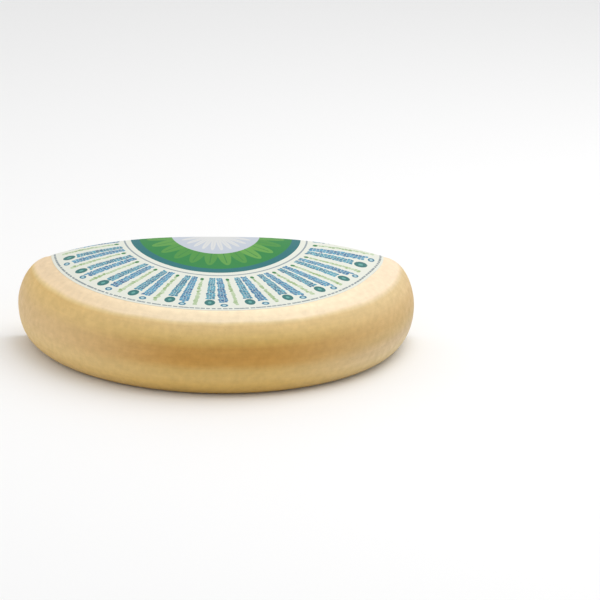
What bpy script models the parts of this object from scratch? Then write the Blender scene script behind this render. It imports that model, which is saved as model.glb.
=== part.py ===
"""Half a wheel of Emmental cheese with its top label, cut straight through the middle.

Metres, +Z up. The origin is under the middle of the half, on the floor it stands on. The
round rind faces -Y and the flat cut face faces +Y. The whole wheel is 84 cm across.
"""

import math
import random

import bmesh
import bpy
from mathutils import Vector
from mathutils.geometry import interpolate_bezier

# The wheel, measured from its axis and from the floor
WHEEL_RADIUS = 0.420
CROWN_HEIGHT = 0.219  # top of the dome, at the middle of the cut
RIM_RADIUS = 0.355  # where the label ends and the bare rim begins
DOME_DROP = 0.0435  # from the crown down to the rim, at the ends of the cut
FRONT_LIFT = 0.005  # the rim is this much higher in front
BULGE_HEIGHT = 0.079  # the side is widest here
FOOT_RADIUS = 0.360  # flat underside that the cheese stands on
OUT_OF_ROUND = 0.08  # share by which the half is shallower than a true half circle

# Roundness of the rim, the side and the foot, as lengths of the curve's handles
RIM_SLOPE_DEG = 4.5
RIM_HANDLE = 0.0400
SIDE_HANDLE_UP = 0.0365
SIDE_HANDLE_DOWN = 0.0435
FOOT_HANDLE = 0.0435

# The dome is a round arch along the cut, and falls off almost straight towards the front
ARCH_POWER = 2.6
RIDGE_SOFTNESS = 0.05  # share of the rim's radius over which the crown is rounded off

# Label: a paper half disc stuck on the dome
LABEL_THICKNESS = 0.0005
LABEL_GAP = 0.0003

# Eyes: the gas holes that the cut has opened, as count, smallest and largest radius
EYE_SEED = 46
EYE_SIZES = ((17, 0.0105, 0.0145), (9, 0.0070, 0.0090), (8, 0.0040, 0.0055))
EYE_WALL = 0.006  # least cheese between two eyes
EYE_MARGIN = 0.022  # least cheese between an eye and the rind
EYE_DEPTHS = (-0.5, 0.8)  # how far behind the cut an eye's centre may lie, in its own radii
EYE_TRIES = 500

# Fineness of the faceted solids
TURN_STEPS = 56
DOME_RINGS = 9
CURVE_POINTS = 9
EYE_SEGMENTS = 12
EYE_RINGS = 8
MERGE = 0.00001
SHARP_DEG = 40.0

CUT_Y = WHEEL_RADIUS * (1.0 - OUT_OF_ROUND) / 2.0  # the cut face, half the depth behind the middle


def soft_share(share):
    """A straight ramp from 0 to 1 whose start is rounded off."""
    top = math.hypot(1.0, RIDGE_SOFTNESS) - RIDGE_SOFTNESS
    return (math.hypot(share, RIDGE_SOFTNESS) - RIDGE_SOFTNESS) / top


def dome_height(x, y):
    """Height of the dome at this place: an arch along X, a soft ridge towards the front."""
    radius = math.hypot(x, y)
    if radius < MERGE:
        return CROWN_HEIGHT
    frontness = (y / radius) ** 2
    share = radius / RIM_RADIUS
    fall = (1.0 - frontness) * share**ARCH_POWER + frontness * soft_share(share)
    return CROWN_HEIGHT - DOME_DROP * fall + FRONT_LIFT * frontness * share**2


def dome_profile():
    """The dome along the cut, from its crown to the rim."""
    radii = [RIM_RADIUS * ring / DOME_RINGS for ring in range(DOME_RINGS + 1)]
    return [Vector((radius, 0.0, dome_height(radius, 0.0))) for radius in radii]


def side_profile():
    """From the rim over the shoulder, down the bulging side and round under to the foot."""
    slope = math.radians(RIM_SLOPE_DEG)
    rim = Vector((RIM_RADIUS, 0.0, CROWN_HEIGHT - DOME_DROP))
    widest = Vector((WHEEL_RADIUS, 0.0, BULGE_HEIGHT))
    foot = Vector((FOOT_RADIUS, 0.0, 0.0))
    past_rim = rim + RIM_HANDLE * Vector((math.cos(slope), 0.0, -math.sin(slope)))
    above = widest + Vector((0.0, 0.0, SIDE_HANDLE_UP))
    below = widest - Vector((0.0, 0.0, SIDE_HANDLE_DOWN))
    past_foot = foot + Vector((FOOT_HANDLE, 0.0, 0.0))
    shoulder = interpolate_bezier(rim, past_rim, above, widest, CURVE_POINTS)
    under = interpolate_bezier(widest, below, past_foot, foot, CURVE_POINTS)
    return shoulder[1:] + under[1:]


def spin_half_turn(mesh, points):
    """Turns a profile in the XZ plane half a turn about Z, on the -Y side, in triangles."""
    verts = [mesh.verts.new(point) for point in points]
    edges = [mesh.edges.new(pair) for pair in zip(verts, verts[1:])]
    bmesh.ops.spin(
        mesh,
        geom=verts + edges,
        cent=(0.0, 0.0, 0.0),
        axis=(0.0, 0.0, -1.0),
        angle=math.pi,
        steps=TURN_STEPS,
        use_duplicate=False,
    )
    bmesh.ops.remove_doubles(mesh, verts=mesh.verts[:], dist=MERGE)
    bmesh.ops.triangulate(mesh, faces=mesh.faces[:], quad_method="FIXED")


def shape_wheel(mesh):
    """Gives the turned wheel the dome's ridge and makes it slightly shallower than round."""
    rim_height = CROWN_HEIGHT - DOME_DROP
    for vert in mesh.verts:
        radius = math.hypot(vert.co.x, vert.co.y)
        if vert.co.z > BULGE_HEIGHT and radius < RIM_RADIUS + MERGE:
            vert.co.z = dome_height(vert.co.x, vert.co.y)
            continue
        if vert.co.z > BULGE_HEIGHT:
            outwardness = (radius - RIM_RADIUS) / (WHEEL_RADIUS - RIM_RADIUS)
        else:
            outwardness = radius / WHEEL_RADIUS
        if radius > MERGE:
            vert.co.z *= 1.0 + FRONT_LIFT * (vert.co.y / radius) ** 2 / rim_height
        vert.co.y *= 1.0 - OUT_OF_ROUND * outwardness


def close_cut(mesh):
    """Fills the flat cut face and turns all faces outwards."""
    outline = [edge for edge in mesh.edges if edge.is_boundary]
    bmesh.ops.contextual_create(mesh, geom=outline)
    bmesh.ops.recalc_face_normals(mesh, faces=mesh.faces[:])


def half_width(height):
    """Half the cut face's width at this height."""
    outline = dome_profile() + side_profile()
    for upper, lower in zip(outline, outline[1:]):
        if lower.z <= height < upper.z:
            share = (upper.z - height) / (upper.z - lower.z)
            return upper.x + (lower.x - upper.x) * share
    return 0.0


def eye_fits(x, z, radius, eyes):
    """True where an eye stays clear of the rind and of the eyes that are there already."""
    reach = radius + EYE_MARGIN
    room = min(half_width(z - reach), half_width(z), half_width(z + reach))
    if abs(x) + reach > room:
        return False
    return all(math.hypot(x - old.x, z - old.z) > radius + size + EYE_WALL for old, size in eyes)


def scatter_eyes():
    """Centres and radii of the eyes, the largest kind first; Y is 0 on the cut."""
    rng = random.Random(EYE_SEED)
    eyes = []
    for count, smallest, largest in EYE_SIZES:
        for _ in range(count):
            radius = rng.uniform(smallest, largest)
            depth = rng.uniform(*EYE_DEPTHS) * radius
            for _ in range(EYE_TRIES):
                x = rng.uniform(-WHEEL_RADIUS, WHEEL_RADIUS)
                z = rng.uniform(0.0, CROWN_HEIGHT)
                if eye_fits(x, z, radius, eyes):
                    eyes.append((Vector((x, -depth, z)), radius))
                    break
    return eyes


def plain_material(name, colour, roughness):
    """A Principled material of one colour."""
    material = bpy.data.materials.new(name)
    material.use_nodes = True
    shader = material.node_tree.nodes["Principled BSDF"]
    shader.inputs["Base Color"].default_value = (*colour, 1.0)
    shader.inputs["Roughness"].default_value = roughness
    return material


def new_object(name, mesh, material=None):
    """An object of this mesh, placed so that the origin is under its middle."""
    bmesh.ops.translate(mesh, verts=mesh.verts[:], vec=(0.0, CUT_Y, 0.0))
    data = bpy.data.meshes.new(name)
    mesh.to_mesh(data)
    mesh.free()
    if material:
        data.materials.append(material)
        data.shade_smooth()
        data.set_sharp_from_angle(angle=math.radians(SHARP_DEG))
    made = bpy.data.objects.new(name, data)
    bpy.context.scene.collection.objects.link(made)
    return made


def make_eye_cutter():
    """All eyes together, as one hidden cutter."""
    mesh = bmesh.new()
    for centre, radius in scatter_eyes():
        ball = bmesh.ops.create_uvsphere(
            mesh, u_segments=EYE_SEGMENTS, v_segments=EYE_RINGS, radius=radius
        )
        bmesh.ops.translate(mesh, verts=ball["verts"], vec=centre)
    cutter = new_object("eye_cutter", mesh)
    cutter.hide_render = True
    cutter.display_type = "WIRE"
    return cutter


def make_cheese():
    """The half wheel, with the eyes opened in its cut face."""
    mesh = bmesh.new()
    floor_centre = Vector((0.0, 0.0, 0.0))
    spin_half_turn(mesh, dome_profile() + side_profile() + [floor_centre])
    shape_wheel(mesh)
    close_cut(mesh)
    cheese = new_object("cheese", mesh, plain_material("cheese", (0.70, 0.46, 0.18), 0.5))
    opened = cheese.modifiers.new("eyes", "BOOLEAN")
    opened.operation = "DIFFERENCE"
    opened.solver = "EXACT"
    opened.object = make_eye_cutter()
    return cheese


def make_label():
    """The paper label, lying on the dome and cut off flush with the cheese."""
    mesh = bmesh.new()
    spin_half_turn(mesh, dome_profile())
    for vert in mesh.verts:
        vert.co.z = dome_height(vert.co.x, vert.co.y) + LABEL_GAP
    underside = mesh.faces[:]
    lifted = bmesh.ops.extrude_face_region(mesh, geom=underside, use_keep_orig=True)
    upper_side = [item for item in lifted["geom"] if isinstance(item, bmesh.types.BMVert)]
    bmesh.ops.translate(mesh, verts=upper_side, vec=(0.0, 0.0, LABEL_THICKNESS))
    bmesh.ops.recalc_face_normals(mesh, faces=mesh.faces[:])
    return new_object("label", mesh, plain_material("label", (0.72, 0.80, 0.80), 0.45))


def main():
    for old in list(bpy.data.objects):
        bpy.data.objects.remove(old)
    make_cheese()
    make_label()


main()
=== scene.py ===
"""Half a wheel of Emmental: its rind, its cut face with the eyes, and the paper label on top.

Metres, +Z up. The round rind faces -Y, where the camera stands, and the cut face faces +Y.
The half is turned about the wheel's own axis, which stands in the cut, and is then moved into
place in its mesh.
"""

import math
import random

import bmesh
import bpy
from mathutils import Matrix, Vector, noise
from mathutils.geometry import interpolate_bezier


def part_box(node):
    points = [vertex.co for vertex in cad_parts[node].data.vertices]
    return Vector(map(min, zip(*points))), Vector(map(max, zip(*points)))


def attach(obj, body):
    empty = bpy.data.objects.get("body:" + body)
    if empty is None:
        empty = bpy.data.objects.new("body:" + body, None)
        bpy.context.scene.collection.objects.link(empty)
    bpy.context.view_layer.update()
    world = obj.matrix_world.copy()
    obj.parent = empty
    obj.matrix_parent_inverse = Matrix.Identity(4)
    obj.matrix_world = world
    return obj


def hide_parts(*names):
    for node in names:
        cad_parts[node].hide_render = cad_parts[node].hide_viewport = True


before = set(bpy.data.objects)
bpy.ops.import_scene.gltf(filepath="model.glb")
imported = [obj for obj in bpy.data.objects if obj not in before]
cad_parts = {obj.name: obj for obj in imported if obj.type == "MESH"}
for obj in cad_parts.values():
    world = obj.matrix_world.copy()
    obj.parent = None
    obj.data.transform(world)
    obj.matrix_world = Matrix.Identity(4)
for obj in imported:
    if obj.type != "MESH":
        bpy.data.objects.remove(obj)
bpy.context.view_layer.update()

# The wheel: its box is the frame's, and the rest is the form that it was pressed in
CHEESE_TOP_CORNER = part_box("cheese")[1]
LABEL_TOP_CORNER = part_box("label")[1]
WHEEL_RADIUS = round(CHEESE_TOP_CORNER.x, 4)
CROWN_HEIGHT = round(CHEESE_TOP_CORNER.z, 4)
CUT_Y = round(CHEESE_TOP_CORNER.y, 4)
RIM_RADIUS = round(LABEL_TOP_CORNER.x, 4)
OUT_OF_ROUND = 1.0 - 2.0 * CUT_Y / WHEEL_RADIUS  # the half is this much shallower than round
DOME_DROP = 0.0435  # from the crown down to the rim, at the ends of the cut
RIM_HEIGHT = CROWN_HEIGHT - DOME_DROP
FRONT_LIFT = 0.005  # the rim is this much higher in front
BULGE_HEIGHT = 0.079  # the side is widest here
FOOT_RADIUS = 0.360
ARCH_POWER = 2.6
RIDGE_SOFTNESS = 0.05

# Roundness of the rim, the side and the foot, as lengths of the curve's handles
RIM_SLOPE = math.radians(4.5)
RIM_HANDLE = 0.0400
SIDE_HANDLE_UP = 0.0365
SIDE_HANDLE_DOWN = 0.0435
FOOT_HANDLE = 0.0435

# Slow hollows that the press and the cellar board left in the rind, all of them inwards
HOLLOWS = ((0.140, 0.0014), (0.045, 0.0005))  # size and depth
HOLLOW_START = 0.020  # they fade out over this distance towards the label and the foot
HOLLOW_SINK = 0.5  # above the bulge the rind also sinks, by this share of a hollow's depth

# The paper label was stretched a little towards the front and lies a little off the wheel's axis
PAPER_TOP = round(LABEL_TOP_CORNER.z - CROWN_HEIGHT, 5)  # its upper side over the dome
PAPER_UNDERSIDE = 0.00005  # its underside over the dome
PAPER_RADIUS = 0.3455
PAPER_CENTRE = (-0.0046, 0.0123)  # from the wheel's axis
PAPER_STRETCH = 1.06
# Its right end was pulled out a little: from the first bearing to the second the edge comes to lie
# this much further out, and the print is spread by this turn
PULLED_END = (math.radians(62.0), math.radians(90.0))
PULLED_OUT = 0.0115
PULLED_TURN = math.radians(6.0)
PULLED_POWER = 4.0  # the pull is felt mostly at the edge

# Eyes, as in the solid cheese: count, smallest and largest radius
EYE_SEED = 46
EYE_SIZES = ((17, 0.0105, 0.0145), (9, 0.0070, 0.0090), (8, 0.0040, 0.0055))
EYE_WALL = 0.006
EYE_MARGIN = 0.022
EYE_DEPTHS = (-0.5, 0.8)
EYE_TRIES = 500
EYE_SOLID_RINGS = 9  # the solid's outline, by which the eyes were placed
PINHOLES = (16, 0.0011, 0.0019)  # the smallest gas holes, besides the solid's eyes
EYE_OVAL = 0.06  # how far an eye may be from round
LIP = 0.0008  # rounding of an eye's edge
LIP_SHARE = 0.3  # the most of its radius that a small eye's lip takes
LIP_HANDLE = 0.6  # roundness of the lip
HALO = 0.0045  # the paste is paler this far round an eye, or less where eyes crowd
HALO_SHARE = 0.48  # the most of the gap between two eyes that one halo takes
LEAST_HALO = 1.5  # the halo ends at least this many widths of the lip from the opening
CUT_EDGE = 0.0009  # rounding of the cut's own edge
CUT_EDGE_STEPS = 3
SKIN_STEPS = (0.0012, 0.0016, 0.0024, 0.0040, 0.0060)  # loops under the rind on the cut face

# What the mesh tells the paste's material about each of its points
UNDER_RIND = "under_rind"  # distance under the rind
BESIDE_EYE = "beside_eye"  # 1 at an eye, 0 where its halo ends

# The half wheel's looks, by their place in its list of materials; the rind is the first
PASTE_LOOK = 1
EYE_WALL_LOOK = 2

# Fineness of the meshes
TURN_STEPS = 180  # in half a turn
DOME_RINGS = 36
CURVE_POINTS = 26
UNDERSIDE_RINGS = 8
EYE_STEPS = 36
EYE_RINGS = 12
LIP_POINTS = 5
MERGE = 0.00001
SHARP = math.radians(42.0)
TOWARDS_CUT = (0.0, 1.0, 0.0)

# The groups printed on the label, by their distance from its middle
UNIT_TURN = math.radians(15.0)  # from one group to the next
FIRST_UNIT = math.radians(-4.65)  # the bearing of the first line that is nearest to the front
UNIT_START = 0.52  # a group starts this share of its width to the left of its first line
LINES_AIM = 0.039  # the lines run towards a point this far in front of the label's middle
PEBBLE_LENGTH = 0.0068  # of the mosaic that the printed lines are made of
PEBBLE_UNEVEN = 0.55
PEBBLE_GAP = 0.050  # half the gap between two pebbles, as a share of their size
UNIT_SHIFT = 61.0  # each group takes its mosaic from this many pebbles further on
LINE_SHIFT = 19.0  # and each line of a group too, so that no two are alike
OVAL_PLACE = 0.3124  # of the oval beyond the first line
OPEN_DOT_PLACE = 0.3236  # of the open dot beyond the second

# The rings round the groups, and the broken one's dashes
INNER_RING = 0.1920
INNER_RING_HALF = 0.0017
OUTER_RING = 0.3382
OUTER_RING_HALF = 0.0020
DASH_TURN = math.radians(1.9)
DASH_LEAST = 0.65  # a dash fills at least this share of its turn
DASH_MORE = 0.35  # and by chance up to this much more

# The round picture in the middle
PICTURE_RADIUS = 0.179
LEAVES_RADIUS = 0.90 * PICTURE_RADIUS
ROSETTE_RADIUS = 0.52 * PICTURE_RADIUS
LEAVES_PER_TURN = 24
LEAF_NOTCH = 0.106  # where two leaves part
LEAF_LENGTH = 0.040  # from there to their tips
PETAL_NOTCH = 0.036
PETAL_LENGTH = 0.042
RIB_START = 0.994  # a rib is where its leaf's lobe comes this near to its full height
LEAF_RIB_END = 0.136
PETAL_RIB = (0.030, 0.066)  # from and to this distance from the middle

# The photograph's camera
CAMERA_PLACE = (-0.3055, -5.8036, 2.1937)
CAMERA_YAW = math.radians(4.603)
CAMERA_PITCH = math.radians(19.367)
CAMERA_ROLL = math.radians(1.645)
CAMERA_LENS = 180.0
CAMERA_SENSOR = 36.0

# The studio: each softbox has its place, size and power
FLOOR_HALF = 8.0
SKY_STRENGTH = 0.75
SOFTBOX_AIM = (0.0, 0.0, 0.1)
SOFTBOXES = {
    "overhead": ((1.3, 0.2, 3.4), 3.2, 62.0),
    "from_left": ((-3.6, -0.8, 0.9), 1.8, 12.0),
    "from_right": ((3.6, 0.2, 1.6), 2.0, 7.0),
}


def soft_share(share):
    """A straight ramp from 0 to 1 whose start is rounded off."""
    top = math.hypot(1.0, RIDGE_SOFTNESS) - RIDGE_SOFTNESS
    return (math.hypot(share, RIDGE_SOFTNESS) - RIDGE_SOFTNESS) / top


def dome_height(x, y):
    """Height of the dome at this place: an arch along X, a soft ridge towards the front."""
    radius = math.hypot(x, y)
    if radius < MERGE:
        return CROWN_HEIGHT
    frontness = (y / radius) ** 2
    share = radius / RIM_RADIUS
    fall = (1.0 - frontness) * share**ARCH_POWER + frontness * soft_share(share)
    return CROWN_HEIGHT - DOME_DROP * fall + FRONT_LIFT * frontness * share**2


def dome_profile(rings):
    """The dome along the cut, from its crown to the rim."""
    radii = [RIM_RADIUS * ring / rings for ring in range(rings + 1)]
    return [Vector((radius, 0.0, dome_height(radius, 0.0))) for radius in radii]


def side_profile(points):
    """From the rim over the shoulder, down the bulging side and round under to the foot."""
    rim = Vector((RIM_RADIUS, 0.0, RIM_HEIGHT))
    widest = Vector((WHEEL_RADIUS, 0.0, BULGE_HEIGHT))
    foot = Vector((FOOT_RADIUS, 0.0, 0.0))
    past_rim = rim + RIM_HANDLE * Vector((math.cos(RIM_SLOPE), 0.0, -math.sin(RIM_SLOPE)))
    above = widest + Vector((0.0, 0.0, SIDE_HANDLE_UP))
    below = widest - Vector((0.0, 0.0, SIDE_HANDLE_DOWN))
    past_foot = foot + Vector((FOOT_HANDLE, 0.0, 0.0))
    shoulder = interpolate_bezier(rim, past_rim, above, widest, points)
    under = interpolate_bezier(widest, below, past_foot, foot, points)
    return shoulder[1:] + under[1:]


def underside_profile():
    """From the foot in to the wheel's axis."""
    shares = [1.0 - ring / UNDERSIDE_RINGS for ring in range(1, UNDERSIDE_RINGS + 1)]
    return [Vector((FOOT_RADIUS * share, 0.0, 0.0)) for share in shares]


def turn_profile(points, axis, steps, full=False):
    """A new mesh: a line of points turned half round, or fully round, an axis through the origin."""
    mesh = bmesh.new()
    verts = [mesh.verts.new(point) for point in points]
    edges = [mesh.edges.new(pair) for pair in zip(verts, verts[1:])]
    bmesh.ops.spin(
        mesh,
        geom=verts + edges,
        cent=(0.0, 0.0, 0.0),
        axis=axis,
        angle=2.0 * math.pi if full else math.pi,
        steps=steps,
        use_merge=full,
        use_duplicate=False,
    )
    bmesh.ops.remove_doubles(mesh, verts=mesh.verts[:], dist=MERGE)
    return mesh


def move_into(mesh, part):
    """Adds a part's mesh to this one, and frees the part."""
    carrier = bpy.data.meshes.new("carrier")
    part.to_mesh(carrier)
    part.free()
    mesh.from_mesh(carrier)
    bpy.data.meshes.remove(carrier)


def smooth_step(value, start, end):
    """0 up to start, 1 from end on, and a soft ramp between them."""
    share = min(1.0, max(0.0, (value - start) / (end - start)))
    return share * share * (3.0 - 2.0 * share)


def hollow_depth(point):
    """How far the rind lies inside its pressed form at this place."""
    depth = 0.0
    for size, most in HOLLOWS:
        depth += most * (0.5 + 0.5 * noise.noise(point / size))
    return depth


def shape_wheel(mesh):
    """Gives the turned wheel its ridged dome, its shallower half and its slow hollows."""
    for vert in mesh.verts:
        radius = math.hypot(vert.co.x, vert.co.y)
        if vert.co.z > BULGE_HEIGHT and radius < RIM_RADIUS + MERGE:
            vert.co.z = dome_height(vert.co.x, vert.co.y)
            continue
        if vert.co.z > BULGE_HEIGHT:
            outwardness = (radius - RIM_RADIUS) / (WHEEL_RADIUS - RIM_RADIUS)
        else:
            outwardness = radius / WHEEL_RADIUS
        if radius > MERGE:
            vert.co.z *= 1.0 + FRONT_LIFT * (vert.co.y / radius) ** 2 / RIM_HEIGHT
        vert.co.y *= 1.0 - OUT_OF_ROUND * outwardness
        fade = smooth_step(vert.co.z, 0.0, HOLLOW_START)
        if vert.co.z > BULGE_HEIGHT:
            fade *= smooth_step(radius, RIM_RADIUS, RIM_RADIUS + HOLLOW_START)
        sunk = fade * hollow_depth(vert.co)
        vert.co.x -= sunk * vert.co.x / max(radius, MERGE)
        vert.co.y -= sunk * vert.co.y / max(radius, MERGE)
        if vert.co.z > BULGE_HEIGHT:
            vert.co.z -= HOLLOW_SINK * sunk


def half_width(height):
    """Half the solid cut face's width at this height."""
    outline = dome_profile(EYE_SOLID_RINGS) + side_profile(EYE_SOLID_RINGS)
    for upper, lower in zip(outline, outline[1:]):
        if lower.z <= height < upper.z:
            share = (upper.z - height) / (upper.z - lower.z)
            return upper.x + (lower.x - upper.x) * share
    return 0.0


def eye_fits(x, z, radius, eyes):
    """True where an eye stays clear of the rind and of the eyes that are there already."""
    reach = radius + EYE_MARGIN
    room = min(half_width(z - reach), half_width(z), half_width(z + reach))
    if abs(x) + reach > room:
        return False
    return all(math.hypot(x - old.x, z - old.z) > radius + size + EYE_WALL for old, size in eyes)


def scatter_eyes(seed, sizes, eyes):
    """Adds eyes as centres and radii, the largest kind first; Y is 0 on the cut."""
    rng = random.Random(seed)
    for count, smallest, largest in sizes:
        for _ in range(count):
            radius = rng.uniform(smallest, largest)
            depth = rng.uniform(*EYE_DEPTHS) * radius
            for _ in range(EYE_TRIES):
                x = rng.uniform(-WHEEL_RADIUS, WHEEL_RADIUS)
                z = rng.uniform(0.0, CROWN_HEIGHT)
                if eye_fits(x, z, radius, eyes):
                    eyes.append((Vector((x, -depth, z)), radius))
                    break
    return eyes


def halo_width(centre, radius, eyes):
    """How wide the pale ring round an eye may be: not quite half the way to the next eye."""
    grown = 1.0 + EYE_OVAL
    width = min(HALO, radius)
    for other, size in eyes:
        apart = math.hypot(centre.x - other.x, centre.z - other.z)
        if apart > MERGE:
            width = min(width, HALO_SHARE * (apart - grown * (radius + size)) / grown)
    return width


def eye_profile(radius, depth, halo):
    """Half an eye's outline: from its deepest point up its wall, over a soft lip, onto the cut."""
    lip = min(LIP, LIP_SHARE * radius)
    opening = math.sqrt(radius**2 - depth**2)
    last = math.acos(-depth / radius) - lip / radius
    turns = [last * ring / EYE_RINGS for ring in range(EYE_RINGS + 1)]
    wall = [
        Vector((radius * math.sin(turn), -depth - radius * math.cos(turn), 0.0)) for turn in turns
    ]
    corner = Vector((opening, 0.0, 0.0))
    edge = Vector((opening + lip, 0.0, 0.0))
    below = wall[-1].lerp(corner, LIP_HANDLE)
    beside = edge.lerp(corner, LIP_HANDLE)
    rounding = interpolate_bezier(wall[-1], below, beside, edge, LIP_POINTS)
    halo_end = Vector((opening + max(halo, LEAST_HALO * lip), 0.0, 0.0))
    return wall + rounding[1:] + [halo_end]


def open_eyes(mesh):
    """Turns all eyes about lines across the cut face, each a little oval."""
    eyes = scatter_eyes(EYE_SEED, EYE_SIZES, [])
    eyes = scatter_eyes(EYE_SEED, (PINHOLES,), eyes)
    rng = random.Random(EYE_SEED)
    for centre, radius in eyes:
        profile = eye_profile(radius, -centre.y, halo_width(centre, radius, eyes))
        eye = turn_profile(profile, TOWARDS_CUT, EYE_STEPS, full=True)
        stretch = 1.0 + rng.uniform(0.0, EYE_OVAL)
        slant = Matrix.Rotation(rng.uniform(0.0, math.pi), 4, "Y")
        bmesh.ops.scale(eye, vec=(stretch, 1.0, 1.0 / stretch), space=slant, verts=eye.verts[:])
        bmesh.ops.translate(eye, vec=(centre.x, 0.0, centre.z), verts=eye.verts[:])
        halo_layer = eye.verts.layers.float.new(BESIDE_EYE)
        for vert in eye.verts:
            vert[halo_layer] = 0.0 if vert.is_boundary else 1.0
        for face in eye.faces:
            face.material_index = EYE_WALL_LOOK
        move_into(mesh, eye)


def close_cut(mesh):
    """Closes the cut face round the eyes: a rounded edge, loops under the rind, then the paste."""
    depth_layer = mesh.verts.layers.float.new(UNDER_RIND)
    mesh.verts.layers.float.new(BESIDE_EYE)
    outline = [edge for edge in mesh.edges if edge.is_boundary]
    cut = bmesh.ops.contextual_create(mesh, geom=outline)["faces"][0]
    bmesh.ops.bevel(
        mesh,
        geom=cut.edges[:],
        offset=CUT_EDGE,
        segments=CUT_EDGE_STEPS,
        profile=0.5,
        affect="EDGES",
        material=-1,
    )
    cut = max(mesh.faces, key=lambda face: len(face.verts))
    depth = 0.0
    for step in SKIN_STEPS:
        depth += step
        bmesh.ops.inset_region(mesh, faces=[cut], thickness=step, use_even_offset=True)
        for vert in cut.verts:
            vert[depth_layer] = depth
    bmesh.ops.delete(mesh, geom=[cut], context="FACES_ONLY")
    open_eyes(mesh)
    depth_layer = mesh.verts.layers.float[UNDER_RIND]
    for face in mesh.faces:
        if face.material_index == EYE_WALL_LOOK:
            for vert in face.verts:
                vert[depth_layer] = depth
    rims = [edge for edge in mesh.edges if edge.is_boundary]
    bmesh.ops.triangle_fill(mesh, edges=rims, use_beauty=True, normal=TOWARDS_CUT)
    bmesh.ops.recalc_face_normals(mesh, faces=mesh.faces[:])
    for face in mesh.faces:
        if all(abs(vert.co.y) < MERGE for vert in face.verts):
            face.material_index = PASTE_LOOK


def finish_piece(name, mesh, materials, node):
    """Makes the piece from its mesh, with the wheel's axis moved to the cut, in a node's place."""
    bmesh.ops.translate(mesh, verts=mesh.verts[:], vec=(0.0, CUT_Y, 0.0))
    data = bpy.data.meshes.new(name)
    mesh.to_mesh(data)
    mesh.free()
    for material in materials:
        data.materials.append(material)
    data.shade_smooth()
    data.set_sharp_from_angle(angle=SHARP)
    piece = bpy.data.objects.new(name, data)
    bpy.context.scene.collection.objects.link(piece)
    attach(piece, "root")
    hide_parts(node)


def make_cheese():
    """The half wheel, turned from its profile, with the eyes open in its cut face."""
    profile = dome_profile(DOME_RINGS) + side_profile(CURVE_POINTS) + underside_profile()
    mesh = turn_profile(profile, (0.0, 0.0, -1.0), TURN_STEPS)
    shape_wheel(mesh)
    close_cut(mesh)
    looks = (make_rind(), make_paste(), make_eye_wall())
    finish_piece("half_wheel", mesh, looks, "cheese")


def make_label():
    """The round paper on the dome, cut through with the cheese."""
    radii = [PAPER_RADIUS * ring / DOME_RINGS for ring in range(DOME_RINGS + 1)]
    disc = [Vector((radius, 0.0, 0.0)) for radius in radii]
    mesh = turn_profile(disc, (0.0, 0.0, 1.0), 2 * TURN_STEPS, full=True)
    for vert in mesh.verts:
        pull = smooth_step(math.atan2(vert.co.x, -vert.co.y), *PULLED_END)
        radius = max(vert.co.length, MERGE)
        vert.co *= 1.0 + PULLED_OUT * pull * (radius / PAPER_RADIUS) ** PULLED_POWER / radius
    bmesh.ops.scale(mesh, vec=(1.0, PAPER_STRETCH, 1.0), verts=mesh.verts[:])
    bmesh.ops.translate(mesh, vec=(*PAPER_CENTRE, 0.0), verts=mesh.verts[:])
    bmesh.ops.bisect_plane(
        mesh,
        geom=mesh.verts[:] + mesh.edges[:] + mesh.faces[:],
        plane_co=(0.0, 0.0, 0.0),
        plane_no=TOWARDS_CUT,
        clear_outer=True,
    )
    for vert in mesh.verts:
        vert.co.z = dome_height(vert.co.x, vert.co.y) + PAPER_UNDERSIDE
    sheet = mesh.faces[:]
    lifted = bmesh.ops.extrude_face_region(mesh, geom=sheet, use_keep_orig=True)
    upper_side = [item for item in lifted["geom"] if isinstance(item, bmesh.types.BMVert)]
    bmesh.ops.translate(mesh, verts=upper_side, vec=(0.0, 0.0, PAPER_TOP - PAPER_UNDERSIDE))
    bmesh.ops.recalc_face_normals(mesh, faces=mesh.faces[:])
    finish_piece("paper_label", mesh, (make_printed_paper(),), "label")


def linear(hex_colour):
    """An sRGB colour such as d3ae6b as linear red, green, blue and a full alpha."""
    parts = [int(hex_colour[start : start + 2], 16) / 255.0 for start in (0, 2, 4)]
    bent = [part / 12.92 if part <= 0.04045 else ((part + 0.055) / 1.055) ** 2.4 for part in parts]
    return (*bent, 1.0)


# The rind's colours by height, from the foot to the rim, with painted light and shade in them: darker
# at the foot and in a band across the middle of the side as painted shade, paler where the side turns
# under as painted light from the floor, and a pale rim that is partly the rind's own and partly painted
# light from above. Golden in front, where the painted shade is deepest; towards both ends the side is
# paler, partly the rind's own tone and partly painted light from the side lamps, and towards the left
# end a little pinker, with painted shade on the rim. They span this height, and drift up and down a
# bit.
RIND_SPAN = (0.003, 0.203)
RIND_DRIFT = 0.006
RIND_ENDS = (0.06, 0.40)  # an end's tone, with its painted light and shade, sets in and is full this far from the middle
RIND_FRONT_PAINTED_LIGHT_AND_SHADE = (
    (0.000, linear("b8954f")),
    (0.140, linear("d0ac60")),
    (0.220, linear("d2b16c")),
    (0.290, linear("ccab66")),
    (0.380, linear("c09244")),
    (0.440, linear("bc8c3e")),
    (0.540, linear("bc8f43")),
    (0.600, linear("c8a357")),
    (0.670, linear("d6b570")),
    (0.770, linear("e2c287")),
    (0.795, linear("ead09a")),
    (0.820, linear("fbe6c2")),
)
RIND_RIGHT_END_PAINTED_LIGHT_AND_SHADE = (
    (0.000, linear("c0a872")),
    (0.140, linear("d2bb8a")),
    (0.220, linear("d2bb92")),
    (0.300, linear("c9b088")),
    (0.400, linear("c5a973")),
    (0.500, linear("c7a66c")),
    (0.600, linear("cfae76")),
    (0.680, linear("d5b782")),
    (0.765, linear("d8bd8a")),
    (0.790, linear("e0c99f")),
    (0.820, linear("f1dabb")),
)
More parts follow.
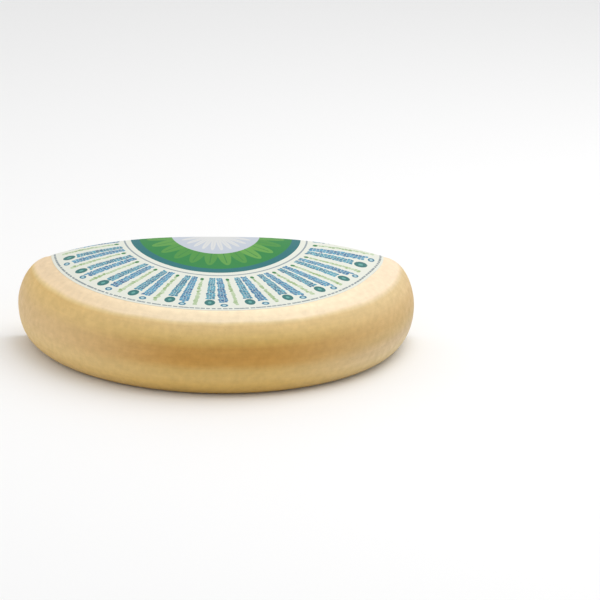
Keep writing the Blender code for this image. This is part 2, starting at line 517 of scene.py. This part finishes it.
RIND_LEFT_END_PAINTED_LIGHT_AND_SHADE = (
    (0.000, linear("c4a368")),
    (0.140, linear("d9b97a")),
    (0.240, linear("dbbd82")),
    (0.400, linear("d7b782")),
    (0.540, linear("d6b57e")),
    (0.660, linear("d9b777")),
    (0.765, linear("dab671")),
    (0.790, linear("e4c88c")),
    (0.820, linear("f0d5ae")),
    (0.860, linear("e6cca6")),
)

# The paste by its depth under the rind, and an eye's wall by its depth behind the cut, paler deeper in
# as painted light where the eye's own shade falls. A stop's place is that depth in metres times this.
PASTE_PER_METRE = 60.0
EYE_WALL_PER_METRE = 50.0
PASTE_UNDER_RIND = (
    (0.00, linear("a3854c")),
    (0.08, linear("c2964a")),
    (0.30, linear("d9ad57")),
    (0.80, linear("e8c067")),
)
EYE_WALL_PAINTED_LIGHT_BY_DEPTH = (
    (0.00, linear("e3b45a")),
    (0.20, linear("dfb044")),
    (0.50, linear("e3b03c")),
    (1.00, linear("f6d250")),
)

# A printed line lies this far to the side of its group's first line: a fixed part, and a part
# that grows with the distance from the label's middle
LINE_PLACES = {"first": (0.0, 0.0), "second": (-0.0090, 0.1190), "thin": (-0.0080, -0.0660)}
# line, its deepest and palest ink, its rows of pebbles, half its width as a share of the distance
# from the middle, its start and its end
PRINTED_LINES = (
    ("first", "0d6382", "4aa0b6", 3, 0.0325, 0.203, 0.298),
    ("second", "06598a", "469bbc", 3, 0.0320, 0.203, 0.314),
    ("thin", "88a76c", "bccdab", 1, 0.0145, 0.216, 0.326),
)
# line, ink, distance from the label's middle, half its width and half its length
PRINTED_SPOTS = (
    ("first", "2b706e", OVAL_PLACE, 0.0108, 0.0125),
    ("first", "5f9f98", OVAL_PLACE, 0.0036, 0.0046),
    ("second", "1f708e", OPEN_DOT_PLACE, 0.0078, 0.0062),
    ("second", "a9c9cf", OPEN_DOT_PLACE, 0.0040, 0.0032),
    ("thin", "2c7a40", 0.2105, 0.0040, 0.0050),
)

NOISE_SPAN = {"From Min": 0.3, "From Max": 0.7}  # nearly all of a noise lies between these
MIXED = 2  # a Mix node's output for colours


def per_feature(millimetres):
    """The scale at which a pattern's features are this large."""
    return 1000.0 / millimetres


def new_material(name):
    """An empty node material and its Principled shader."""
    material = bpy.data.materials.new(name)
    material.use_nodes = True
    return material, material.node_tree, material.node_tree.nodes["Principled BSDF"]


def add_node(tree, kind, inputs=(), stops=(), **settings):
    """Adds a shader node with its settings. An input, by place or name, is a value or a link."""
    made = tree.nodes.new("ShaderNode" + kind)
    for name, value in settings.items():
        setattr(made, name, value)
    for spot, (place, colour) in enumerate(stops):
        stop = made.color_ramp.elements[spot] if spot < 2 else made.color_ramp.elements.new(place)
        stop.position = place
        stop.color = colour
    open_inputs = [socket for socket in made.inputs if socket.enabled]
    by_key = inputs if isinstance(inputs, dict) else dict(enumerate(inputs))
    for key, value in by_key.items():
        socket = made.inputs[key] if isinstance(key, str) else open_inputs[key]
        if isinstance(value, bpy.types.Node):
            value = next(output for output in value.outputs if output.enabled)
        if isinstance(value, bpy.types.NodeSocket):
            tree.links.new(value, socket)
        else:
            socket.default_value = value
    return made


def axis_place(tree):
    """The place on the piece, measured from the wheel's own axis."""
    coordinates = add_node(tree, "TexCoord")
    settings = {"Vector": coordinates.outputs["Object"], "Location": (0.0, -CUT_Y, 0.0)}
    return add_node(tree, "Mapping", settings)


def make_rind():
    """Pressed natural rind, brined and brushed dry: matt and golden, with painted light and shade: a
    rim pale partly of its own and partly as painted light, and painted shade across the side.
    """
    material, tree, shader = new_material("emmental rind, brined and brushed")
    place = axis_place(tree)
    parts = add_node(tree, "SeparateXYZ", (place,))
    clouds = add_node(tree, "TexNoise", {"Vector": place, "Scale": per_feature(90), "Detail": 3.0})
    drifted = (clouds, RIND_DRIFT, parts.outputs["Z"])
    height = add_node(tree, "Math", drifted, operation="MULTIPLY_ADD")
    low, high = RIND_SPAN
    share = add_node(tree, "MapRange", {"Value": height, "From Min": low, "From Max": high})
    # Painted shade at the foot and across the side, painted floor light where it turns under, partly
    # painted light on the rim
    ground = add_node(tree, "ValToRGB", (share,), stops=RIND_FRONT_PAINTED_LIGHT_AND_SHADE).outputs["Color"]
    # Towards each end a paler side, partly its own tone and partly painted light, and on the left
    # painted shade on the rim
    near, far = RIND_ENDS
    for stops, side in ((RIND_RIGHT_END_PAINTED_LIGHT_AND_SHADE, 1.0), (RIND_LEFT_END_PAINTED_LIGHT_AND_SHADE, -1.0)):
        end = {"Value": parts.outputs["X"], "From Min": near * side, "From Max": far * side}
        towards = add_node(tree, "MapRange", end, interpolation_type="SMOOTHSTEP")
        tone = add_node(tree, "ValToRGB", (share,), stops=stops)
        mixed = add_node(tree, "Mix", (towards, ground, tone), data_type="RGBA")
        ground = mixed.outputs[MIXED]

    # Patches where the brine dried darker or paler
    mottle = add_node(tree, "TexNoise", {"Vector": place, "Scale": per_feature(14), "Detail": 6.0})
    shade = add_node(tree, "MapRange", {"Value": mottle, **NOISE_SPAN, "To Min": 0.94, "To Max": 1.06})

    # The brush went round the wheel, so its streaks are long and lie level
    brushed = add_node(tree, "Mapping", {"Vector": place, "Scale": (0.08, 0.08, 1.0)})
    streaks = add_node(tree, "TexNoise", {"Vector": brushed, "Scale": per_feature(5), "Detail": 4.0})
    brush = add_node(tree, "MapRange", {"Value": streaks, **NOISE_SPAN, "To Min": 0.97, "To Max": 1.03})
    streaked = add_node(tree, "Math", (shade, brush), operation="MULTIPLY")

    # Small pits left by the press, each a little darker than the skin around it as painted shade in its
    # hollow.
    # The grain of the skin is finer in the real rind, and is drawn this coarse so that it shows.
    pits = add_node(tree, "TexVoronoi", {"Vector": place, "Scale": per_feature(9)})
    kind = add_node(tree, "SeparateColor", (pits.outputs["Color"],)).outputs["Red"]
    size = {"Value": kind, "From Min": 0.45, "From Max": 1.0, "To Min": 0.0, "To Max": 0.14}
    edge = add_node(tree, "MapRange", size)
    inside = add_node(tree, "Math", (edge, pits.outputs["Distance"]), operation="SUBTRACT")
    pit_shape = {"Value": inside, "From Min": 0.0, "From Max": 0.05}
    pit = add_node(tree, "MapRange", pit_shape, interpolation_type="SMOOTHSTEP")
    grain = add_node(tree, "TexNoise", {"Vector": place, "Scale": per_feature(1.8), "Detail": 5.0})
    grained = add_node(tree, "Math", (grain, 0.10, 0.95), operation="MULTIPLY_ADD")
    # The pits are darkened as painted shade; the grain is the skin's own uneven tone
    darker = add_node(tree, "Math", (pit, -0.12, grained), operation="MULTIPLY_ADD")
    tone = add_node(tree, "Math", (streaked, darker), operation="MULTIPLY")
    colour = add_node(tree, "VectorMath", {0: ground, "Scale": tone}, operation="SCALE")
    tree.links.new(colour.outputs["Vector"], shader.inputs["Base Color"])

    sunk = add_node(tree, "Math", (pit, -0.8, grain), operation="MULTIPLY_ADD")
    relief = add_node(tree, "Math", (streaks, 0.7, sunk), operation="MULTIPLY_ADD")
    bump = add_node(tree, "Bump", {"Height": relief, "Strength": 0.5, "Distance": 0.0010})
    tree.links.new(bump.outputs["Normal"], shader.inputs["Normal"])
    worn = add_node(tree, "MapRange", {"Value": mottle, **NOISE_SPAN, "To Min": 0.62, "To Max": 0.46})
    tree.links.new(worn.outputs["Result"], shader.inputs["Roughness"])
    shader.inputs["Specular IOR Level"].default_value = 0.4
    return material


def make_paste():
    """Ripe paste, cut with a wire: golden yellow, faintly moist, deeper just under the rind."""
    material, tree, shader = new_material("emmental paste, wire cut")
    place = axis_place(tree)
    under = add_node(tree, "Attribute", attribute_name=UNDER_RIND)
    share = add_node(tree, "Math", (under.outputs["Fac"], PASTE_PER_METRE), operation="MULTIPLY")
    skin = add_node(tree, "ValToRGB", (share,), stops=PASTE_UNDER_RIND)
    beside = add_node(tree, "Attribute", attribute_name=BESIDE_EYE)
    halo = add_node(tree, "Math", (beside.outputs["Fac"], 0.6), operation="MULTIPLY")
    haloed = add_node(tree, "Mix", (halo, skin, linear("f4d78c")), data_type="RGBA")

    # Curds that grew together, with a faint line where two of them meet
    bent = add_node(tree, "TexNoise", {"Vector": place, "Scale": per_feature(9), "Detail": 2.0})
    bend = add_node(tree, "VectorMath", (bent.outputs["Color"], (0.5, 0.5, 0.5)), operation="SUBTRACT")
    push = (bend, (0.006, 0.006, 0.006), place)
    pushed = add_node(tree, "VectorMath", push, operation="MULTIPLY_ADD")
    cells = {"Vector": pushed, "Scale": per_feature(11)}
    curds = add_node(tree, "TexVoronoi", cells, feature="DISTANCE_TO_EDGE")
    seam = {"Value": curds, "From Max": 0.10, "To Min": 0.975, "To Max": 1.0}
    joined = add_node(tree, "MapRange", seam, interpolation_type="SMOOTHSTEP")
    clouds = add_node(tree, "TexNoise", {"Vector": place, "Scale": per_feature(40), "Detail": 5.0})
    shade = add_node(tree, "MapRange", {"Value": clouds, **NOISE_SPAN, "To Min": 0.95, "To Max": 1.03})
    tone = add_node(tree, "Math", (shade, joined), operation="MULTIPLY")
    shaded = {0: haloed.outputs[MIXED], "Scale": tone}
    colour = add_node(tree, "VectorMath", shaded, operation="SCALE")
    tree.links.new(colour.outputs["Vector"], shader.inputs["Base Color"])

    # The wire leaves fine level drag lines, drawn a little coarse so that they show, and the fat
    # comes out as a thin uneven film
    level = add_node(tree, "Mapping", {"Vector": pushed, "Scale": (0.05, 1.0, 1.0)})
    drag = add_node(tree, "TexNoise", {"Vector": level, "Scale": per_feature(2.2), "Detail": 3.0})
    edges = add_node(tree, "Math", (joined, 4.0, drag), operation="MULTIPLY_ADD")
    bump = add_node(tree, "Bump", {"Height": edges, "Strength": 0.25, "Distance": 0.0004})
    tree.links.new(bump.outputs["Normal"], shader.inputs["Normal"])
    uneven = {"Value": clouds, "From Min": 0.35, "From Max": 0.65, "To Min": 0.48, "To Max": 0.34}
    film = add_node(tree, "MapRange", uneven)
    tree.links.new(film.outputs["Result"], shader.inputs["Roughness"])
    shader.inputs["Subsurface Weight"].default_value = 0.2
    shader.inputs["Subsurface Radius"].default_value = (1.0, 0.6, 0.25)
    shader.inputs["Subsurface Scale"].default_value = 0.006
    return material


def make_eye_wall():
    """The wall of a gas hole, where no wire went: smooth and shiny, a deeper amber, and paler deeper in
    as painted light.
    """
    material, tree, shader = new_material("emmental eye wall, smooth, light painted deep in")
    place = axis_place(tree)
    parts = add_node(tree, "SeparateXYZ", (place,))
    share = add_node(tree, "Math", (parts.outputs["Y"], -EYE_WALL_PER_METRE), operation="MULTIPLY")
    # Paler deeper in the eye: painted light where its own shade falls
    depth = add_node(tree, "ValToRGB", (share,), stops=EYE_WALL_PAINTED_LIGHT_BY_DEPTH)
    clouds = add_node(tree, "TexNoise", {"Vector": place, "Scale": per_feature(6), "Detail": 3.0})
    shade = add_node(tree, "MapRange", {"Value": clouds, **NOISE_SPAN, "To Min": 0.94, "To Max": 1.04})
    colour = add_node(tree, "VectorMath", {0: depth, "Scale": shade}, operation="SCALE")
    tree.links.new(colour.outputs["Vector"], shader.inputs["Base Color"])
    ripple = add_node(tree, "TexNoise", {"Vector": place, "Scale": per_feature(2.5), "Detail": 2.0})
    bump = add_node(tree, "Bump", {"Height": ripple, "Strength": 0.15, "Distance": 0.0005})
    tree.links.new(bump.outputs["Normal"], shader.inputs["Normal"])
    moist = add_node(tree, "MapRange", {"Value": clouds, **NOISE_SPAN, "To Min": 0.34, "To Max": 0.23})
    tree.links.new(moist.outputs["Result"], shader.inputs["Roughness"])
    shader.inputs["Specular IOR Level"].default_value = 0.25
    shader.inputs["Subsurface Weight"].default_value = 0.2
    shader.inputs["Subsurface Radius"].default_value = (1.0, 0.6, 0.25)
    shader.inputs["Subsurface Scale"].default_value = 0.006
    return material


def between(tree, value, low, high):
    """1 where the value lies between two limits, and 0 elsewhere."""
    middle = (low + high) / 2.0
    return add_node(tree, "Math", (value, middle, high - middle), operation="COMPARE")


def spot(tree, across, along, middle, half_width, half_length):
    """1 inside an oval whose middle is this far from the label's own."""
    aside = add_node(tree, "Math", (across, half_width), operation="DIVIDE")
    past = add_node(tree, "Math", (along, -middle), operation="ADD")
    beyond = add_node(tree, "Math", (past, half_length), operation="DIVIDE")
    share = add_node(tree, "CombineXYZ", (aside, beyond, 0.0))
    far = add_node(tree, "VectorMath", (share,), operation="LENGTH")
    return add_node(tree, "Math", (far.outputs["Value"], 1.0), operation="LESS_THAN")


def pebbles(tree, across, along, unit, line, rows, half_width, inner, outer):
    """A printed line's mosaic of uneven pebbles: 1 on their ink, and a random share for each."""
    centring = PEBBLE_UNEVEN / 2.0
    reach = 0.5 * rows
    aside = add_node(tree, "Math", (across, along), operation="DIVIDE")
    in_rows = (aside, reach / half_width, centring)
    sideways = add_node(tree, "Math", in_rows, operation="MULTIPLY_ADD")
    apart = add_node(tree, "Math", (unit, UNIT_SHIFT, LINE_SHIFT * line), operation="MULTIPLY_ADD")
    in_pebbles = (along, 1.0 / PEBBLE_LENGTH, apart)
    lengthways = add_node(tree, "Math", in_pebbles, operation="MULTIPLY_ADD")
    cells = {
        "Vector": add_node(tree, "CombineXYZ", (sideways, lengthways, 0.0)),
        "Scale": 1.0,
        "Randomness": PEBBLE_UNEVEN,
    }
    flat = {"voronoi_dimensions": "2D"}
    pebble = add_node(tree, "TexVoronoi", cells, **flat)
    gaps = add_node(tree, "TexVoronoi", cells, feature="DISTANCE_TO_EDGE", **flat)
    inked = add_node(tree, "Math", (gaps, PEBBLE_GAP), operation="GREATER_THAN")

    # A pebble belongs to the line, whole, where its middle lies within it
    middle = add_node(tree, "SeparateXYZ", (pebble.outputs["Position"],))
    in_width = between(tree, middle.outputs["X"], centring - reach, centring + reach)
    past = add_node(tree, "Math", (middle.outputs["Y"], apart), operation="SUBTRACT")
    in_length = between(tree, past, inner / PEBBLE_LENGTH, outer / PEBBLE_LENGTH)
    in_line = add_node(tree, "Math", (in_width, in_length), operation="MULTIPLY")
    mask = add_node(tree, "Math", (inked, in_line), operation="MULTIPLY")
    dice = add_node(tree, "SeparateColor", (pebble.outputs["Color"],)).outputs["Red"]
    return mask, dice


def make_printed_paper():
    """Offset-printed label paper, coated and glued down: smooth, with a slight satin shine."""
    material, tree, shader = new_material("label paper, offset printed")
    coordinates = add_node(tree, "TexCoord").outputs["Object"]
    to_print = {
        "Vector": coordinates,
        "Scale": (1.0, 1.0 / PAPER_STRETCH, 0.0),
        "Location": (-PAPER_CENTRE[0], -(CUT_Y + PAPER_CENTRE[1]) / PAPER_STRETCH, 0.0),
    }
    place = add_node(tree, "Mapping", to_print)
    parts = add_node(tree, "SeparateXYZ", (place,))
    far = add_node(tree, "VectorMath", (place,), operation="LENGTH").outputs["Value"]
    forward = add_node(tree, "Math", (parts.outputs["Y"], -1.0), operation="MULTIPLY")
    bearing = add_node(tree, "Math", (parts.outputs["X"], forward), operation="ARCTAN2")

    # The pulled end, undone: what was printed there lay nearer to the middle and to the front
    end = {"Value": bearing, "From Min": PULLED_END[0], "From Max": PULLED_END[1]}
    pull = add_node(tree, "MapRange", end, interpolation_type="SMOOTHSTEP")
    share = add_node(tree, "Math", (far, PAPER_RADIUS), operation="DIVIDE")
    felt = add_node(tree, "Math", (share, PULLED_POWER), operation="POWER")
    moved = add_node(tree, "Math", (pull, felt), operation="MULTIPLY")
    radius = add_node(tree, "Math", (moved, -PULLED_OUT, far), operation="MULTIPLY_ADD")

    # The groups, counted round the label; their lines run to a point in front of its middle
    nearness = add_node(tree, "Math", (1.0, radius), operation="DIVIDE")
    beyond = add_node(tree, "Math", (nearness, 1.0 / OVAL_PLACE), operation="SUBTRACT")
    sideways = add_node(tree, "Math", (bearing,), operation="SINE")
    lean = add_node(tree, "Math", (sideways, beyond), operation="MULTIPLY")
    spread_turn = add_node(tree, "Math", (pull, -PULLED_TURN, bearing), operation="MULTIPLY_ADD")
    leaned = add_node(tree, "Math", (lean, LINES_AIM, spread_turn), operation="MULTIPLY_ADD")
    turned = add_node(tree, "Math", (leaned, -FIRST_UNIT), operation="ADD")
    units = add_node(tree, "Math", (turned, UNIT_TURN), operation="DIVIDE")
    started = add_node(tree, "Math", (units, UNIT_START), operation="ADD")
    unit = add_node(tree, "Math", (started,), operation="FLOOR")
    aside = add_node(tree, "Math", (units, unit), operation="SUBTRACT")
    swing = add_node(tree, "Math", (aside, UNIT_TURN), operation="MULTIPLY")
    first = add_node(tree, "Math", (swing, radius), operation="MULTIPLY")
    across = {}
    for name, (near, slope) in LINE_PLACES.items():
        shift = add_node(tree, "Math", (radius, -slope, -near), operation="MULTIPLY_ADD")
        across[name] = add_node(tree, "Math", (first, shift), operation="ADD")

    # The round picture: a pale rosette, a ring of leaves and a teal rim. Each leaf has its own
    # tone, and a rib runs down each leaf and petal.
    leaves = add_node(tree, "Math", (bearing, LEAVES_PER_TURN / 2.0), operation="MULTIPLY")
    wave = add_node(tree, "Math", (leaves,), operation="SINE")
    lobe = add_node(tree, "Math", (wave,), operation="ABSOLUTE")
    leaf_tip = add_node(tree, "Math", (lobe, LEAF_LENGTH, LEAF_NOTCH), operation="MULTIPLY_ADD")
    petal_tip = add_node(tree, "Math", (lobe, PETAL_LENGTH, PETAL_NOTCH), operation="MULTIPLY_ADD")
    in_leaf = add_node(tree, "Math", (radius, leaf_tip), operation="LESS_THAN")
    in_petal = add_node(tree, "Math", (radius, petal_tip), operation="LESS_THAN")
    counted = add_node(tree, "Math", (leaves, math.pi), operation="DIVIDE")
    leaf = add_node(tree, "Math", (counted,), operation="FLOOR")
    dice = add_node(tree, "TexWhiteNoise", {"W": leaf}, noise_dimensions="1D").outputs["Value"]
    leaf_ink = add_node(tree, "Mix", (dice, linear("428c37"), linear("63a044")), data_type="RGBA")
    rib = add_node(tree, "Math", (lobe, RIB_START), operation="GREATER_THAN")
    along_leaf = between(tree, radius, 0.0, LEAF_RIB_END)
    along_petal = between(tree, radius, *PETAL_RIB)
    layers = [
        (linear("166b70"), between(tree, radius, 0.0, PICTURE_RADIUS)),
        (linear("1f7f3a"), between(tree, radius, 0.0, LEAVES_RADIUS)),
        (leaf_ink.outputs[MIXED], in_leaf),
        (linear("2f7f39"), add_node(tree, "Math", (rib, along_leaf), operation="MULTIPLY")),
        (linear("bcc3ce"), between(tree, radius, 0.0, ROSETTE_RADIUS)),
        (linear("d2d3d2"), in_petal),
        (linear("c3c8cf"), add_node(tree, "Math", (rib, along_petal), operation="MULTIPLY")),
    ]

    # A thin ring round the picture, and a broken one round the groups
    ring = between(tree, radius, INNER_RING - INNER_RING_HALF, INNER_RING + INNER_RING_HALF)
    layers.append((linear("8d999f"), ring))
    dashes = add_node(tree, "Math", (bearing, DASH_TURN), operation="DIVIDE")
    dash = add_node(tree, "Math", (dashes,), operation="FLOOR")
    dice = add_node(tree, "TexWhiteNoise", {"W": dash}, noise_dimensions="1D").outputs["Value"]
    filled = add_node(tree, "Math", (dice, DASH_MORE, DASH_LEAST), operation="MULTIPLY_ADD")
    along = add_node(tree, "Math", (dashes,), operation="FRACT")
    broken = add_node(tree, "Math", (along, filled), operation="LESS_THAN")
    ring = between(tree, radius, OUTER_RING - OUTER_RING_HALF, OUTER_RING + OUTER_RING_HALF)
    layers.append((linear("848f92"), add_node(tree, "Math", (ring, broken), operation="MULTIPLY")))

    # The groups: two lines of blue pebbles and a narrow green one, then an oval and the dots
    for line, (name, deep, pale, *size) in enumerate(PRINTED_LINES):
        inked, dice = pebbles(tree, across[name], radius, unit, line, *size)
        ink = add_node(tree, "Mix", (dice, linear(deep), linear(pale)), data_type="RGBA")
        layers.append((ink.outputs[MIXED], inked))
    for name, ink, *size in PRINTED_SPOTS:
        layers.append((linear(ink), spot(tree, across[name], radius, *size)))

    # The inks go on the paper in this order
    colour = linear("dddfd4")
    covered = 0.0
    for ink, mask in layers:
        covered = add_node(tree, "Math", (covered, mask), operation="MAXIMUM")
        mixed = add_node(tree, "Mix", (mask, colour, ink), data_type="RGBA")
        colour = mixed.outputs[MIXED]
    tree.links.new(colour, shader.inputs["Base Color"])

    # Real paper fibres are far finer, and are drawn this coarse so that they show
    fibres = add_node(tree, "TexNoise", {"Vector": place, "Scale": per_feature(1.2), "Detail": 3.0})
    bump = add_node(tree, "Bump", {"Height": fibres, "Strength": 0.1, "Distance": 0.0002})
    tree.links.new(bump.outputs["Normal"], shader.inputs["Normal"])

    # Ink lies on the coating as a thin film, a little shinier than the bare paper
    film = add_node(tree, "Math", (covered, -0.10, 0.50), operation="MULTIPLY_ADD")
    roughness = add_node(tree, "Math", (fibres, 0.08, film), operation="MULTIPLY_ADD")
    tree.links.new(roughness.outputs["Value"], shader.inputs["Roughness"])
    shader.inputs["Specular IOR Level"].default_value = 0.3
    return material


def add_softbox(name, place, size, power):
    """A large square studio light that the camera doesn't see."""
    data = bpy.data.lights.new(name, "AREA")
    data.shape = "SQUARE"
    data.size = size
    data.energy = power
    lamp = bpy.data.objects.new(name, data)
    lamp.location = place
    aim = Vector(SOFTBOX_AIM) - Vector(place)
    lamp.rotation_euler = aim.to_track_quat("-Z", "Y").to_euler()
    lamp.visible_camera = False
    bpy.context.scene.collection.objects.link(lamp)


def set_stage():
    """A plain pale floor under plain soft light, with the camera at the photograph's angle."""
    mesh = bmesh.new()
    bmesh.ops.create_grid(mesh, x_segments=1, y_segments=1, size=FLOOR_HALF)
    data = bpy.data.meshes.new("floor")
    mesh.to_mesh(data)
    mesh.free()
    material, _, shader = new_material("studio floor, painted white")
    shader.inputs["Base Color"].default_value = linear("f3f3f3")
    shader.inputs["Roughness"].default_value = 0.9
    data.materials.append(material)
    floor = bpy.data.objects.new("floor", data)
    bpy.context.scene.collection.objects.link(floor)

    world = bpy.data.worlds.new("studio")
    world.use_nodes = True
    sky = world.node_tree.nodes["Background"]
    sky.inputs["Color"].default_value = linear("ffffff")
    sky.inputs["Strength"].default_value = SKY_STRENGTH
    bpy.context.scene.world = world
    bpy.context.scene.view_settings.view_transform = "Standard"
    for name, settings in SOFTBOXES.items():
        add_softbox(name, *settings)

    data = bpy.data.cameras.new("camera")
    data.lens = CAMERA_LENS
    data.sensor_width = CAMERA_SENSOR
    camera = bpy.data.objects.new("camera", data)
    turn = (
        Matrix.Rotation(-CAMERA_YAW, 4, "Z")
        @ Matrix.Rotation(math.radians(90.0) - CAMERA_PITCH, 4, "X")
        @ Matrix.Rotation(CAMERA_ROLL, 4, "Z")
    )
    camera.matrix_world = Matrix.Translation(CAMERA_PLACE) @ turn
    bpy.context.scene.collection.objects.link(camera)
    bpy.context.scene.camera = camera


set_stage()
make_cheese()
make_label()
